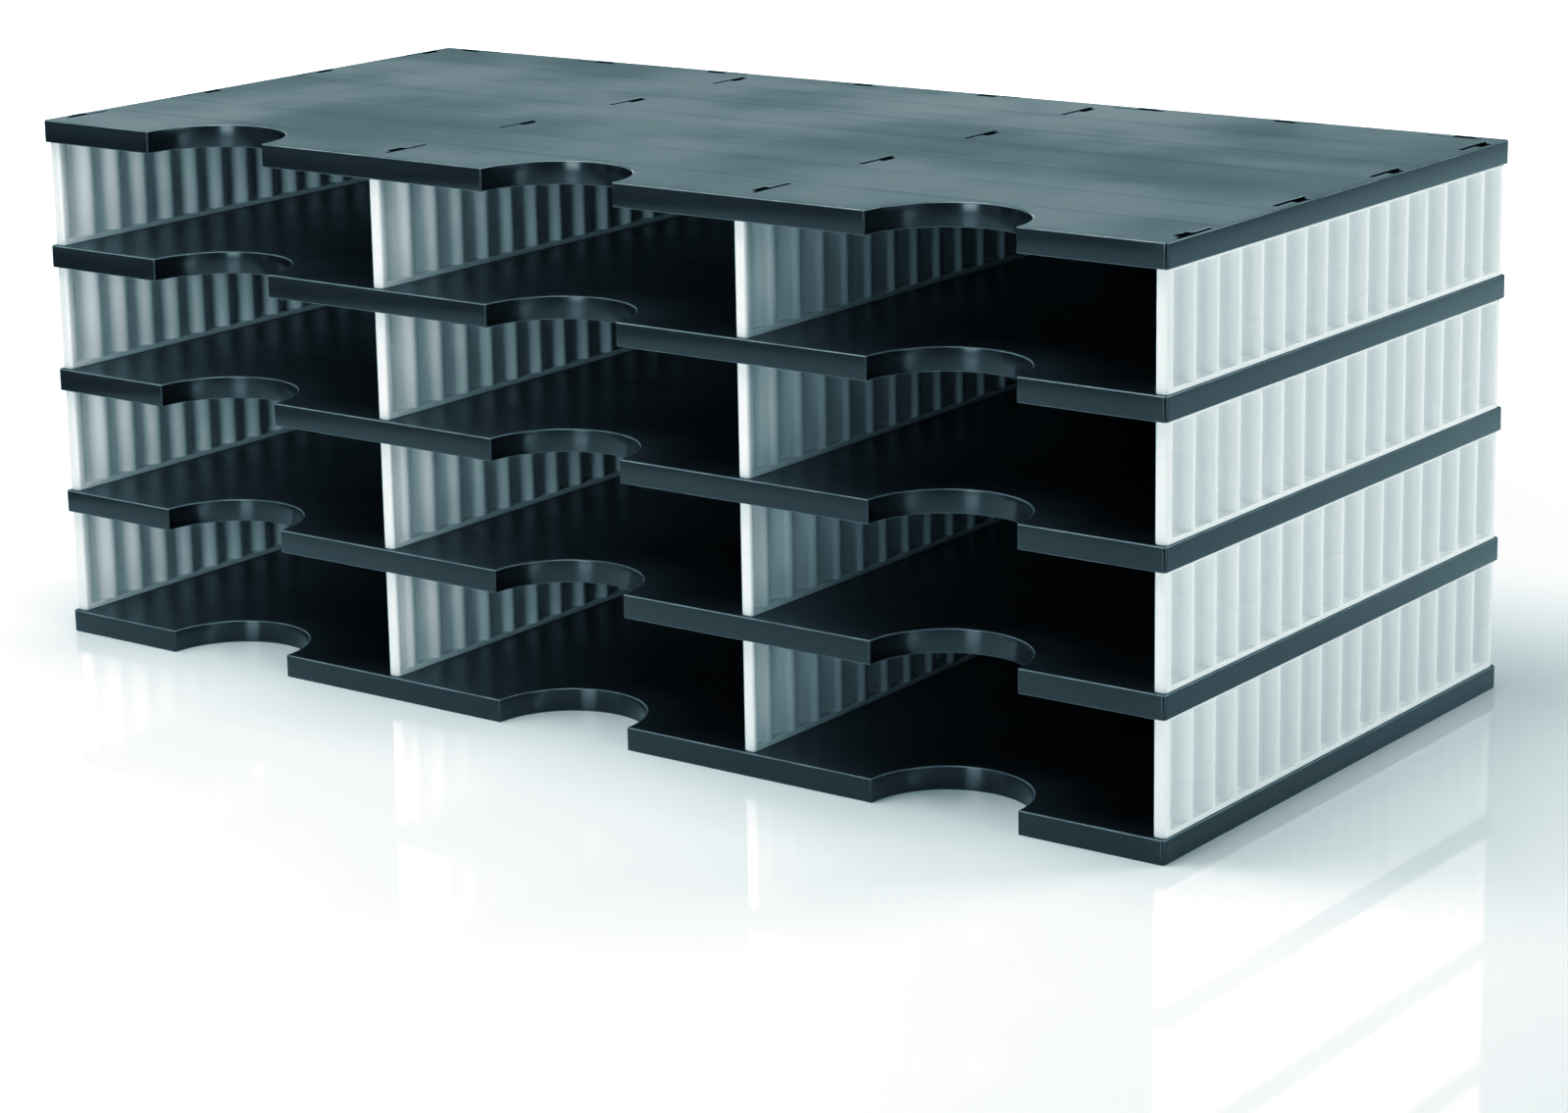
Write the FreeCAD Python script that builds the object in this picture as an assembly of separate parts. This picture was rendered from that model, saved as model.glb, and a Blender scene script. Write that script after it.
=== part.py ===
"""Literature sorter, three pockets wide and four pockets high.

Five black plates lie between sixteen white fluted panels and twelve black back walls.
Each plate is one hollow moulding: a thin skin, a skirt, cross ribs below, and a finger notch
in front of each pocket. Tabs on the panels and walls plug into slots in the plates. A slot is
a long bar with a short block beside it: the bar takes the tab from below, and the block takes
the peg from above. The slots of the lower plates, which the panels cover, are plain: each is
the rectangle round its bar and block. Millimetres, +Z up, front towards -Y, and the origin is
at the bottom centre.
"""
import FreeCAD
import Part

import math
import os

# Overall form
BAYS = 3
ROWS = 4
WIDTH = 723.0
DEPTH = 340.0
POCKET_HEIGHT = 58.0

# Plates
PLATE_HEIGHT = 12.4
SKIN = 2.2
SKIRT = 1.2
CORNER_RADIUS = 2.0
EDGE_CHAMFER = 0.7
RIB = 1.5
CROSS_RIBS = 6
NOTCH_RADIUS = 42.5
NOTCH_STRAIGHT = 2.0
NOTCH_WALL_SIDES = 8

# Fluted panels
PANEL_THICKNESS = 7.0
PANEL_SIDE_INSET = 1.0
PANEL_END_INSET = 3.0
FLANGE = 1.5
POST = 4.0
POST_LAP = 1.0
FLUTE_PITCH = 20.5
FLUTE_DEPTH = 5.0
FLUTE_CREST = 5.0

# Back walls
WALL_WEB = 2.0
WALL_BORDER = 2.5
WALL_GAP = 0.3

# Slots in the plates, and the tabs that plug into them
SLOTS_PER_PANEL = 4
SLOT_END = 27.875
SLOT_LENGTH = 31.3
SLOT_BAR = 2.8
BLOCK_LENGTH = 12.5
BLOCK_OFFSET = 4.7
TAB_CLEARANCE = 0.25
TAB_RECESS = 7.0
PEG_REACH = 3.0

# Worked out from the sizes above
ROW_PITCH = POCKET_HEIGHT + PLATE_HEIGHT
SIDE_LINE = PANEL_SIDE_INSET + PANEL_THICKNESS / 2
BAY_PITCH = (WIDTH - 2 * SIDE_LINE) / BAYS
FRONT = -DEPTH / 2
BACK = DEPTH / 2
BACK_LINE = BACK - SIDE_LINE
SLOT_HALF = PANEL_THICKNESS / 2 - (SKIRT - PANEL_SIDE_INSET)
PANEL_LENGTH = DEPTH - 2 * PANEL_END_INSET
FLUTED_LENGTH = PANEL_LENGTH - 2 * (POST - POST_LAP)
FLUTES = max(1, round(FLUTED_LENGTH / FLUTE_PITCH))
FLUTE_STEP = FLUTED_LENGTH / FLUTES
SLOT_PITCH = (DEPTH - 2 * SLOT_END) / (SLOTS_PER_PANEL - 1)
WALL_WIDTH = BAY_PITCH - PANEL_THICKNESS - 2 * WALL_GAP
WALL_SLOT_PITCH = BAY_PITCH * 2 / 5
TAB_HEIGHT = PLATE_HEIGHT - TAB_RECESS
PEG_HEIGHT = SKIN + PEG_REACH

PANEL_NAMES = ["side_panel_left", "divider_left", "divider_right", "side_panel_right"]
BAY_NAMES = ["left", "middle", "right"]


def box(x_low, x_high, y_low, y_high, z_low, z_high):
    """A block between two corners."""
    corner = FreeCAD.Vector(x_low, y_low, z_low)
    return Part.makeBox(x_high - x_low, y_high - y_low, z_high - z_low, corner)


def panel_line(index):
    """X of the centre of upright line number index, from the left."""
    return -WIDTH / 2 + SIDE_LINE + index * BAY_PITCH


def bay_centre(index):
    """X of the centre of pocket column number index, from the left."""
    return panel_line(index) + BAY_PITCH / 2


def plate_base(level):
    """Z of the underside of plate number level, from the bottom."""
    return level * ROW_PITCH


# Slots and tabs

def panel_slots():
    """(Y, turn) of each slot along an upright line. The front one is turned half round."""
    first = FRONT + SLOT_END
    return [(first + k * SLOT_PITCH, -1 if k == 0 else 1) for k in range(SLOTS_PER_PANEL)]


def wall_slots(bay):
    """(X, turn) of the slots behind one pocket column.

    Evenly spaced slots run along the whole back edge, and every second one is turned.
    """
    outer = panel_line(0) + BAY_PITCH / 10
    half = (BAY_PITCH - PANEL_THICKNESS - SLOT_LENGTH) / 2
    count = int(BAYS * BAY_PITCH / WALL_SLOT_PITCH) + 1
    slots = [(outer + k * WALL_SLOT_PITCH, 1 if k % 2 else -1) for k in range(count)]
    return [(x, turn) for x, turn in slots if abs(x - bay_centre(bay)) < half]


def slot_bar(turn, clearance):
    """Low and high corners, across and along the line, of a slot's long bar."""
    across = sorted([-turn * (SLOT_HALF - clearance), -turn * (SLOT_HALF - SLOT_BAR + clearance)])
    along = SLOT_LENGTH / 2 - clearance
    return across, [-along, along]


def slot_block(turn, clearance):
    """Low and high corners, across and along the line, of a slot's short block."""
    across = sorted([turn * (SLOT_HALF - clearance), turn * (SLOT_BAR - SLOT_HALF + clearance)])
    middle = turn * BLOCK_OFFSET
    half = BLOCK_LENGTH / 2 - clearance
    return across, [middle - half, middle + half]


def slot_cover():
    """Low and high corners, across and along the line, of the rectangle round a whole slot."""
    return [-SLOT_HALF, SLOT_HALF], [-SLOT_LENGTH / 2, SLOT_LENGTH / 2]


def slot_rectangles(turn, stepped):
    """The rectangles that make up one slot."""
    return [slot_bar(turn, 0), slot_block(turn, 0)] if stepped else [slot_cover()]


def on_panel_line(rectangle, x, y, z_low, z_high):
    """A slot rectangle as a block on an upright line, which runs front to back."""
    across, along = rectangle
    return box(x + across[0], x + across[1], y + along[0], y + along[1], z_low, z_high)


def on_back_line(rectangle, x, z_low, z_high):
    """A slot rectangle as a block on the back line, which runs from side to side."""
    across, along = rectangle
    return box(x + along[0], x + along[1], BACK_LINE + across[0], BACK_LINE + across[1], z_low, z_high)


def slot_cutters(stepped):
    """Every slot of one plate, as blocks through its whole height."""
    cutters = []
    for index in range(BAYS + 1):
        for y, turn in panel_slots():
            for shape in slot_rectangles(turn, stepped):
                cutters.append(on_panel_line(shape, panel_line(index), y, 0, PLATE_HEIGHT))
    for bay in range(BAYS):
        for x, turn in wall_slots(bay):
            for shape in slot_rectangles(turn, stepped):
                cutters.append(on_back_line(shape, x, 0, PLATE_HEIGHT))
    return cutters


# Plates

def finger_notch(bay, z_high):
    """The round-ended notch in front of a pocket."""
    x, y = bay_centre(bay), FRONT + NOTCH_STRAIGHT
    round_end = Part.makeCylinder(NOTCH_RADIUS, z_high, FreeCAD.Vector(x, y, 0))
    return round_end.fuse(box(x - NOTCH_RADIUS, x + NOTCH_RADIUS, FRONT - EDGE_CHAMFER, y, 0, z_high))


def notch_wall(bay, z_high):
    """The notch and the wall round it, which is flat-sided where it faces the hollow."""
    x, y = bay_centre(bay), FRONT + NOTCH_STRAIGHT
    radius = NOTCH_RADIUS + SKIRT
    step = 2 * math.pi / NOTCH_WALL_SIDES
    reach = radius / math.cos(step / 2)
    angles = [(k + 0.5) * step for k in range(NOTCH_WALL_SIDES)]
    corners = [FreeCAD.Vector(x + reach * math.cos(a), y + reach * math.sin(a), 0) for a in angles]
    return Part.Face(Part.makePolygon(corners + corners[:1])).extrude(FreeCAD.Vector(0, 0, z_high))


def plate_slab(softened):
    """The outside of a plate: a slab with notches and rounded upright corners."""
    slab = box(-WIDTH / 2, WIDTH / 2, FRONT, BACK, 0, PLATE_HEIGHT)
    upright = [e for e in slab.Edges if abs(e.tangentAt(e.FirstParameter).z) > 0.9]
    slab = slab.makeFillet(CORNER_RADIUS, upright)
    slab = slab.cut([finger_notch(bay, PLATE_HEIGHT) for bay in range(BAYS)]).removeSplitter()
    if not softened:
        return slab
    top = [e for e in slab.Edges if e.BoundBox.ZMin > PLATE_HEIGHT - 1e-3]
    return slab.makeChamfer(EDGE_CHAMFER, top)


def plate_hollows():
    """The hollows below the skin, one between each two cross ribs, clear of the notch walls."""
    pitch = DEPTH / (CROSS_RIBS + 1)
    ceiling = PLATE_HEIGHT - SKIN
    walls = [notch_wall(bay, ceiling) for bay in range(BAYS)]
    hollows = []
    for k in range(CROSS_RIBS + 1):
        y_low = FRONT + (k * pitch + RIB / 2 if k else SKIRT)
        y_high = FRONT + ((k + 1) * pitch - RIB / 2 if k < CROSS_RIBS else DEPTH - SKIRT)
        hollow = box(-WIDTH / 2 + SKIRT, WIDTH / 2 - SKIRT, y_low, y_high, 0, ceiling)
        hollows.append(hollow.cut(walls))
    return hollows


def plate(on_top):
    """One plate with its underside at Z = 0. The top one shows its stepped slots and soft edge."""
    return plate_slab(on_top).cut(plate_hollows() + slot_cutters(on_top)).removeSplitter()


# Fluted panels

def flute_outline():
    """Corners of the web's section, as (across, along) from the panel's front end.

    Whole flutes fill the panel between its square end posts. Along the outer face a flat
    crest stands at each step. Along the inner face a sharp crest stands half a step further
    on, so that the web keeps a nearly even wall.
    """
    edge = PANEL_THICKNESS / 2
    valley = edge - FLUTE_DEPTH
    start = POST - POST_LAP
    half = FLUTE_STEP / 2
    crest = FLUTE_CREST / 2
    lip = valley + FLUTE_DEPTH * POST_LAP / half
    outer = [(edge, 0.0)]
    for k in range(FLUTES):
        along = start + k * FLUTE_STEP
        outer += [(edge, along + crest), (valley, along + half), (edge, along + 2 * half - crest)]
    outer.append((edge, PANEL_LENGTH))
    inner = [(-edge, 0.0), (-edge, POST), (-lip, POST)]
    for k in range(FLUTES):
        along = start + half + k * FLUTE_STEP
        inner.append((-edge, along))
        if k < FLUTES - 1:
            inner.append((-valley, along + half))
    inner += [(-lip, PANEL_LENGTH - POST), (-edge, PANEL_LENGTH - POST), (-edge, PANEL_LENGTH)]
    return outer + inner[::-1]


def fluted_panel():
    """One panel centred on X = 0, standing on Z = 0, with tabs above and end pegs below."""
    edge = PANEL_THICKNESS / 2
    front = FRONT + PANEL_END_INSET
    corners = [FreeCAD.Vector(across, front + along, 0) for across, along in flute_outline()]
    web = Part.Face(Part.makePolygon(corners + corners[:1])).extrude(FreeCAD.Vector(0, 0, POCKET_HEIGHT))
    pieces = [
        box(-edge, edge, front, front + PANEL_LENGTH, 0, FLANGE),
        box(-edge, edge, front, front + PANEL_LENGTH, POCKET_HEIGHT - FLANGE, POCKET_HEIGHT),
    ]
    slots = panel_slots()
    for y, turn in slots:
        tab = slot_bar(turn, TAB_CLEARANCE)
        pieces.append(on_panel_line(tab, 0, y, POCKET_HEIGHT - FLANGE, POCKET_HEIGHT + TAB_HEIGHT))
    for y, turn in (slots[0], slots[-1]):
        pieces.append(on_panel_line(slot_block(turn, TAB_CLEARANCE), 0, y, -PEG_HEIGHT, FLANGE))
    return web.fuse(pieces).removeSplitter()


# Back walls

def back_wall(bay):
    """The wall behind one pocket: flat towards the pocket, with a border that stands out behind."""
    x = bay_centre(bay)
    half = WALL_WIDTH / 2
    y_low, y_high = BACK_LINE - PANEL_THICKNESS / 2, BACK_LINE + PANEL_THICKNESS / 2
    wall = box(x - half, x + half, y_low, y_high, 0, POCKET_HEIGHT)
    hollow = box(
        x - half + WALL_BORDER, x + half - WALL_BORDER, y_low + WALL_WEB, y_high,
        WALL_BORDER, POCKET_HEIGHT - WALL_BORDER,
    )
    slots = wall_slots(bay)
    tabs = []
    for slot_x, turn in slots:
        tab = slot_bar(turn, TAB_CLEARANCE)
        tabs.append(on_back_line(tab, slot_x, POCKET_HEIGHT - WALL_BORDER, POCKET_HEIGHT + TAB_HEIGHT))
    for slot_x, turn in (slots[0], slots[-1]):
        tabs.append(on_back_line(slot_block(turn, TAB_CLEARANCE), slot_x, -PEG_HEIGHT, WALL_BORDER))
    return wall.cut(hollow).fuse(tabs).removeSplitter()


# The assembly

def plate_name(level):
    """Name of plate number level, from the bottom."""
    if level == 0:
        return "base_plate"
    return "top_plate" if level == ROWS else "shelf_%d" % level


def placed(shape, x, z):
    """A copy of a shape moved sideways and up."""
    moved = shape.copy()
    moved.translate(FreeCAD.Vector(x, 0, z))
    return moved


def assemble():
    """Every piece at its place, by name."""
    covered_plate, open_plate = plate(False), plate(True)
    panel_shape = fluted_panel()
    walls = [back_wall(bay) for bay in range(BAYS)]
    parts = {}
    for level in range(ROWS + 1):
        shape = open_plate if level == ROWS else covered_plate
        parts[plate_name(level)] = placed(shape, 0, plate_base(level))
    for row in range(ROWS):
        floor = plate_base(row) + PLATE_HEIGHT
        for index, name in enumerate(PANEL_NAMES):
            parts["%s_%d" % (name, row + 1)] = placed(panel_shape, panel_line(index), floor)
        for bay, name in enumerate(BAY_NAMES):
            parts["back_wall_%s_%d" % (name, row + 1)] = placed(walls[bay], 0, floor)
    return parts


os.makedirs("parts", exist_ok=True)
for node, shape in assemble().items():
    shape.exportStep("parts/%s.step" % node)
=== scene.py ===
"""Looks of a literature sorter: black plates, white fluted panels and black back walls."""
import logging
import math
from dataclasses import dataclass, field
from enum import Enum

import bpy
import numpy as np
from mathutils import Matrix, Vector
from mathutils.geometry import delaunay_2d_cdt


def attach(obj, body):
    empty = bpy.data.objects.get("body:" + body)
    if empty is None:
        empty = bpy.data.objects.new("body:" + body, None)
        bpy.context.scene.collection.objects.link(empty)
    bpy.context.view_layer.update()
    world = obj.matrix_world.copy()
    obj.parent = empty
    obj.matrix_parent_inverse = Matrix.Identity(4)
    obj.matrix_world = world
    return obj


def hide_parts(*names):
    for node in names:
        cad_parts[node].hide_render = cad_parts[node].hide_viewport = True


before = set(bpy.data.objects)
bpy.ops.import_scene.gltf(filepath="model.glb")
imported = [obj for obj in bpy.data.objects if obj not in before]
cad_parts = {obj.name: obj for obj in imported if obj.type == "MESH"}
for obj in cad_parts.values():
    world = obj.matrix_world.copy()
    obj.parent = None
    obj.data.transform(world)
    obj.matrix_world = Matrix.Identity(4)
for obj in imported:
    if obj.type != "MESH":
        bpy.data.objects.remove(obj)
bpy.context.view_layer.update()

log = logging.getLogger("sorter")

MM = 0.001
SAME_POINT = 1e-6
WELDS_PER_MM = 1000
SHARP_TURN = math.radians(30)
NOISE_RANGE = (0.3, 0.7)
Pair = tuple[float, float]
Triple = tuple[float, float, float]
Profile = list[Pair]


class Turn(Enum):
    """Which way a tab slot lies: its long bar on the low or on the high side of its line."""

    BAR_LOW = 1
    BAR_HIGH = -1


class Facing(Enum):
    """Whether a wall round an outline faces away from the outlined area or into it."""

    OUT = 1
    IN = -1


def placed(name: str, data: bpy.types.ID) -> bpy.types.Object:
    """Puts an object into the scene.

    Args:
        name: The object's name.
        data: Its mesh, light or camera.

    Returns:
        The object.
    """
    made = bpy.data.objects.new(name, data)
    bpy.context.scene.collection.objects.link(made)
    return made


# Outlines and surfaces

@dataclass
class Outline:
    """A closed line in a plane, anticlockwise, with the way out at each of its points.

    A point moved by a distance d goes to point - out * d for an inset, so that a corner with a
    mitred way out keeps its walls parallel.
    """

    points: np.ndarray
    out: np.ndarray

    @classmethod
    def mitred(cls, corners: np.ndarray) -> "Outline":
        """A polygon with sharp corners.

        The way out at a corner is (n1 + n2) / (1 + n1 . n2), with n1 and n2 the outward
        normals of the sides that meet there.

        Args:
            corners: Corner points, (n, 2), anticlockwise.

        Returns:
            The outline.
        """
        corners = np.asarray(corners, float)
        side = np.roll(corners, -1, axis=0) - corners
        side /= np.linalg.norm(side, axis=1)[:, None]
        after = np.stack([side[:, 1], -side[:, 0]], axis=1)
        before = np.roll(after, 1, axis=0)
        dot = (after * before).sum(axis=1)
        return cls(corners, (after + before) / (1 + dot)[:, None])

    @classmethod
    def rounded(cls, corners: np.ndarray, radii: np.ndarray | float, steps: np.ndarray | int) -> "Outline":
        """A polygon with every corner turned on an arc.

        At a corner that turns by t, the arc of radius r touches both sides r * tan(t / 2) away
        from it. Its centre lies r to the inner side of the line, and the way out turns evenly
        from the first side's normal to the second's.

        Args:
            corners: Corner points, (n, 2), anticlockwise.
            radii: Radius of each corner's arc, or of all.
            steps: Number of pieces in each corner's arc, or in all.

        Returns:
            The outline.
        """
        corners = np.asarray(corners, float)
        side = np.roll(corners, -1, axis=0) - corners
        side /= np.linalg.norm(side, axis=1)[:, None]
        coming = np.roll(side, 1, axis=0)
        cross = coming[:, 0] * side[:, 1] - coming[:, 1] * side[:, 0]
        turn = np.arctan2(cross, (coming * side).sum(axis=1))
        start = np.arctan2(-coming[:, 0], coming[:, 1])
        radii = np.broadcast_to(radii, len(corners))
        count = np.broadcast_to(steps, len(corners)) + 1
        which = np.repeat(np.arange(len(corners)), count)
        first = np.repeat(np.cumsum(count) - count, count)
        share = (np.arange(count.sum()) - first) / np.repeat(count - 1, count)
        angle = start[which] + turn[which] * share
        out = np.stack([np.cos(angle), np.sin(angle)], axis=1)
        reach = radii * np.tan(np.abs(turn) / 2)
        touch = corners - coming * reach[:, None]
        sign = np.sign(turn)
        normal = np.stack([coming[:, 1], -coming[:, 0]], axis=1)
        centre = touch - normal * (sign * radii)[:, None]
        points = centre[which] + out * (sign * radii)[which][:, None]
        gap = np.linalg.norm(points - np.roll(points, 1, axis=0), axis=1)
        keep = gap > SAME_POINT
        return cls(points[keep], out[keep])

    def inset(self, distance: float) -> np.ndarray:
        """The outline's points moved inwards by a distance."""
        return self.points - self.out * distance


def rectangle(low: Pair, high: Pair) -> np.ndarray:
    """Corners of an upright rectangle, anticlockwise."""
    return np.array([low, (high[0], low[1]), high, (low[0], high[1])], float)


def quarter(inset: float, height: float, radius: float, first: float, steps: int = 4) -> Profile:
    """Points of a quarter round in a wall's profile.

    Args:
        inset: Inset of the arc's centre from the outline.
        height: Height of the arc's centre.
        radius: Radius of the arc.
        first: Angle of the first point, in degrees, with 0 outwards and 90 upwards. The arc
            runs clockwise from there.
        steps: Number of pieces.

    Returns:
        Points (inset - r * cos(a), height + r * sin(a)) for a from first to first - 90.
    """
    angle = np.radians(first - np.linspace(0, 90, steps + 1))
    return list(zip(inset - radius * np.cos(angle), height + radius * np.sin(angle)))


@dataclass
class Surface:
    """A closed surface gathered from strips and caps, welded where they meet, in millimetres.

    Attributes:
        axes: Which of X, Y and Z the plane's two directions and the height run along.
    """

    axes: tuple[int, int, int] = (0, 1, 2)
    points: list[np.ndarray] = field(default_factory=list)
    faces: list[np.ndarray] = field(default_factory=list)
    patches: list[int] = field(default_factory=list)

    def add(self, points: np.ndarray, faces: np.ndarray) -> None:
        """Adds one patch.

        Args:
            points: Points in the plane's directions and height, (n, 3).
            faces: Corner numbers, (k, 4). A triangle repeats its last corner.
        """
        placed = np.empty_like(points)
        placed[:, self.axes] = points
        if np.linalg.det(np.eye(3)[list(self.axes)]) < 0:
            faces = faces[:, ::-1]
        offset = sum(len(p) for p in self.points)
        self.points.append(placed)
        self.faces.append(faces + offset)
        self.patches.append(len(faces))

    def grid(self, points: np.ndarray, around: bool, flip: bool = False) -> None:
        """Adds the surface through a grid of points.

        Face (i, j) joins points (i, j), (i, j + 1), (i + 1, j + 1) and (i + 1, j).

        Args:
            points: Grid of points, (n, m, 3).
            around: Whether the last row joins the first.
            flip: Whether to turn the faces over.
        """
        rows, columns = points.shape[:2]
        number = np.arange(rows * columns).reshape(rows, columns)
        low = number if around else number[:-1]
        high = np.roll(number, -1, axis=0) if around else number[1:]
        faces = np.stack([low[:, :-1], low[:, 1:], high[:, 1:], high[:, :-1]], axis=-1).reshape(-1, 4)
        self.add(points.reshape(-1, 3), faces[:, ::-1] if flip else faces)

    def wall(self, outline: Outline, profile: Profile, facing: Facing = Facing.OUT) -> None:
        """Carries a profile along an outline.

        The point for outline point p and profile point (d, h) is p - out * d at height h. The
        profile runs downwards.

        Args:
            outline: The line that the wall follows.
            profile: Insets and heights.
            facing: Which side of the wall shows.
        """
        inset, height = np.array(profile, float).T
        plane = outline.points[:, None, :] - outline.out[:, None, :] * inset[None, :, None]
        level = np.broadcast_to(height[None, :, None], plane.shape[:2] + (1,))
        self.grid(np.concatenate([plane, level], axis=2), True, facing is Facing.IN)

    def cap(self, edge: np.ndarray, holes: list[np.ndarray], height: float, up: bool) -> None:
        """Fills a flat area between an outer line and the lines round its holes.

        The area is cut into the triangles of a constrained Delaunay net, whose edges join each
        point to the one after it on its line.

        Args:
            edge: Points of the outer line, (n, 2).
            holes: Points of each hole's line.
            height: Height of the area.
            up: Whether it faces towards growing heights.
        """
        only_inside, too_close = 1, 1e-7
        loops = [edge] + holes
        points = np.concatenate(loops)
        starts = np.cumsum([0] + [len(loop) for loop in loops])
        after = np.arange(len(points)) + 1
        after[starts[1:] - 1] = starts[:-1]
        edges = np.stack([np.arange(len(points)), after], axis=1)
        net = delaunay_2d_cdt(points.tolist(), edges.tolist(), [], only_inside, too_close)
        plane = points[[sources[0] for sources in net[3]]]
        faces = np.array(net[2])
        faces = faces[self._covered(plane[faces].mean(axis=1), loops)]
        a, b, c = plane[faces[:, 0]], plane[faces[:, 1]], plane[faces[:, 2]]
        area = (b[:, 0] - a[:, 0]) * (c[:, 1] - a[:, 1]) - (b[:, 1] - a[:, 1]) * (c[:, 0] - a[:, 0])
        wrong = (area > 0) != up
        faces[wrong] = faces[wrong][:, ::-1]
        level = np.full((len(plane), 1), height)
        self.add(np.concatenate([plane, level], axis=1), np.concatenate([faces, faces[:, 2:]], axis=1))

    @staticmethod
    def _covered(spots: np.ndarray, loops: list[np.ndarray]) -> np.ndarray:
        """Tells which spots lie inside the outer line and outside its holes.

        A ray from such a spot along the first direction crosses the lines an odd number of
        times. It crosses a side whose ends lie on both sides of it, if the side's first
        coordinate at the ray's height is the larger one.

        Args:
            spots: Spots, (n, 2).
            loops: Points of the outer line and of each hole's line.

        Returns:
            True for each spot in the area.
        """
        a = np.concatenate(loops)
        b = np.concatenate([np.roll(loop, -1, axis=0) for loop in loops])
        x, y = spots[:, :1], spots[:, 1:]
        between = (a[:, 1] > y) != (b[:, 1] > y)
        rise = b[:, 1] - a[:, 1]
        slope = (b[:, 0] - a[:, 0]) / np.where(rise == 0, 1, rise)
        return (between & (a[:, 0] + (y - a[:, 1]) * slope > x)).sum(axis=1) % 2 == 1

    def block(self, low: Triple, high: Triple, edge: float) -> None:
        """Adds a block with softened edges, in the plane's directions and height.

        Args:
            low: Its low corner.
            high: Its high corner.
            edge: Width of its softened edges.
        """
        outline = Outline.mitred(rectangle(low[:2], high[:2]))
        profile = [(edge, high[2]), (0, high[2] - edge), (0, low[2] + edge), (edge, low[2])]
        self.wall(outline, profile)
        self.cap(outline.inset(edge), [], high[2], True)
        self.cap(outline.inset(edge), [], low[2], False)

    def piece(self, name: str, shift: Triple = (0, 0, 0)) -> bpy.types.Object:
        """Makes the object.

        Points in the same thousandth of a millimetre are welded. Edges stay sharp where two
        patches meet and where faces turn by more than 30 degrees.

        Args:
            name: The object's name.
            shift: Move in X, Y and Z, in millimetres.

        Returns:
            The object, at the origin, with its place in its mesh, in metres.
        """
        points = np.concatenate(self.points)
        faces = np.concatenate(self.faces)
        patch = np.repeat(np.arange(len(self.patches)), self.patches)
        near = np.round(points * WELDS_PER_MM).astype(np.int64)
        keys, first, number = np.unique(near, axis=0, return_index=True, return_inverse=True)
        corners = number.reshape(-1)[faces]
        distinct = corners != np.roll(corners, 1, axis=1)
        whole = distinct.sum(axis=1) >= 3
        corners, distinct, patch = corners[whole], distinct[whole], patch[whole]
        count = distinct.sum(axis=1)
        mesh = bpy.data.meshes.new(name)
        mesh.vertices.add(len(keys))
        mesh.vertices.foreach_set("co", ((points[first] + np.array(shift)) * MM).astype(np.float32).ravel())
        mesh.loops.add(int(count.sum()))
        mesh.loops.foreach_set("vertex_index", corners[distinct].astype(np.int32))
        mesh.polygons.add(len(count))
        mesh.polygons.foreach_set("loop_start", (np.cumsum(count) - count).astype(np.int32))
        mesh.polygons.foreach_set("use_smooth", np.ones(len(count), bool))
        mesh.update(calc_edges=True)
        mesh.validate()
        self._sharpen(mesh, patch)
        return placed(name, mesh)

    @staticmethod
    def _sharpen(mesh: bpy.types.Mesh, patch: np.ndarray) -> None:
        """Marks the edges between patches, and those where faces turn by over 30 degrees.

        Two faces turn by more than an angle if their normals' dot product is below its cosine.

        Args:
            mesh: The mesh.
            patch: Number of the patch that each face belongs to.
        """
        sizes = np.empty(len(mesh.polygons), np.int32)
        normals = np.empty(len(mesh.polygons) * 3, np.float32)
        edge_of = np.empty(len(mesh.loops), np.int32)
        mesh.polygons.foreach_get("loop_total", sizes)
        mesh.polygons.foreach_get("normal", normals)
        mesh.loops.foreach_get("edge_index", edge_of)
        face_of = np.repeat(np.arange(len(sizes)), sizes)
        order = np.argsort(edge_of, kind="stable")
        edge, face = edge_of[order], face_of[order]
        same = edge[1:] == edge[:-1]
        one, two, which = face[:-1][same], face[1:][same], edge[1:][same]
        normals = normals.reshape(-1, 3)
        turned = (normals[one] * normals[two]).sum(axis=1) < math.cos(SHARP_TURN)
        sharp = np.zeros(len(mesh.edges), bool)
        sharp[which[turned | (patch[one] != patch[two])]] = True
        mesh.attributes.new("sharp_edge", "BOOLEAN", "EDGE").data.foreach_set("value", sharp)


# Finishes

Socket = bpy.types.NodeSocket
Value = Socket | float | tuple[float, ...]


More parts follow.
